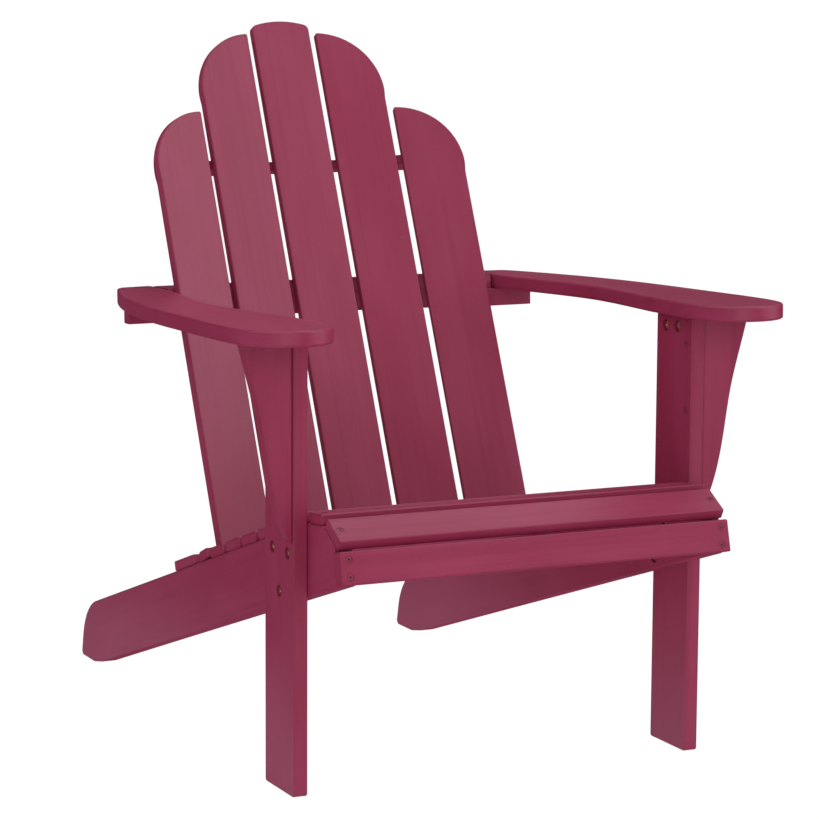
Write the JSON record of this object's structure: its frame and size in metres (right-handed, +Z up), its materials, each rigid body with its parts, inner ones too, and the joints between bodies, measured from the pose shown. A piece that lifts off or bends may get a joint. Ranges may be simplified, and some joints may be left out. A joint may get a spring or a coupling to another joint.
{
  "type": "adirondack chair",
  "caption": "Painted wooden adirondack chair with a reclined, curved slatted back, sloping slatted seat, broad paddle arms on curved brackets, flat front legs and long rear stringers.",
  "frame": {"origin": "centre of the footprint box, on the ground", "axes": "+X to the sitter's left as seen from the front (the viewer's right), +Y towards the back of the chair, +Z up"},
  "size_m": [0.742, 0.9376, 0.9142],
  "materials": {
    "painted_wood": "semi-gloss raspberry paint over planed wood",
    "bolt_metal": "aged zinc with a copper tone",
    "screw_metal": "painted over with the wood"
  },
  "bodies": {
    "root": {"apron": "painted_wood", "apron_screws": "screw_metal", "arm_bracket_left": "painted_wood", "arm_bracket_right": "painted_wood", "arm_cleat_left": "painted_wood", "arm_cleat_right": "painted_wood", "arm_left": "painted_wood", "arm_rail": "painted_wood", "arm_right": "painted_wood", "arm_support_rail": "painted_wood", "back_seat_slat": "painted_wood", "back_slat_far_left": "painted_wood", "back_slat_far_right": "painted_wood", "back_slat_left": "painted_wood", "back_slat_middle": "painted_wood", "back_slat_right": "painted_wood", "back_slat_screws": "screw_metal", "bracket_screws": "screw_metal", "cleat_bolts": "bolt_metal", "cleat_nuts": "bolt_metal", "cleat_screws": "screw_metal", "front_leg_left": "painted_wood", "front_leg_right": "painted_wood", "front_seat_slat": "painted_wood", "leg_bolts": "bolt_metal", "leg_nuts": "bolt_metal", "nose_slat": "painted_wood", "nose_slat_screws": "screw_metal", "rear_slat": "painted_wood", "rear_slat_screws": "screw_metal", "seat_screws": "screw_metal", "seat_slat_1": "painted_wood", "seat_slat_2": "painted_wood", "seat_slat_3": "painted_wood", "seat_slat_4": "painted_wood", "seat_slat_5": "painted_wood", "seat_slat_6": "painted_wood", "stringer_left": "painted_wood", "stringer_right": "painted_wood", "support_rail_screws": "screw_metal", "upper_back_rail": "painted_wood"}
  },
  "joints": []
}
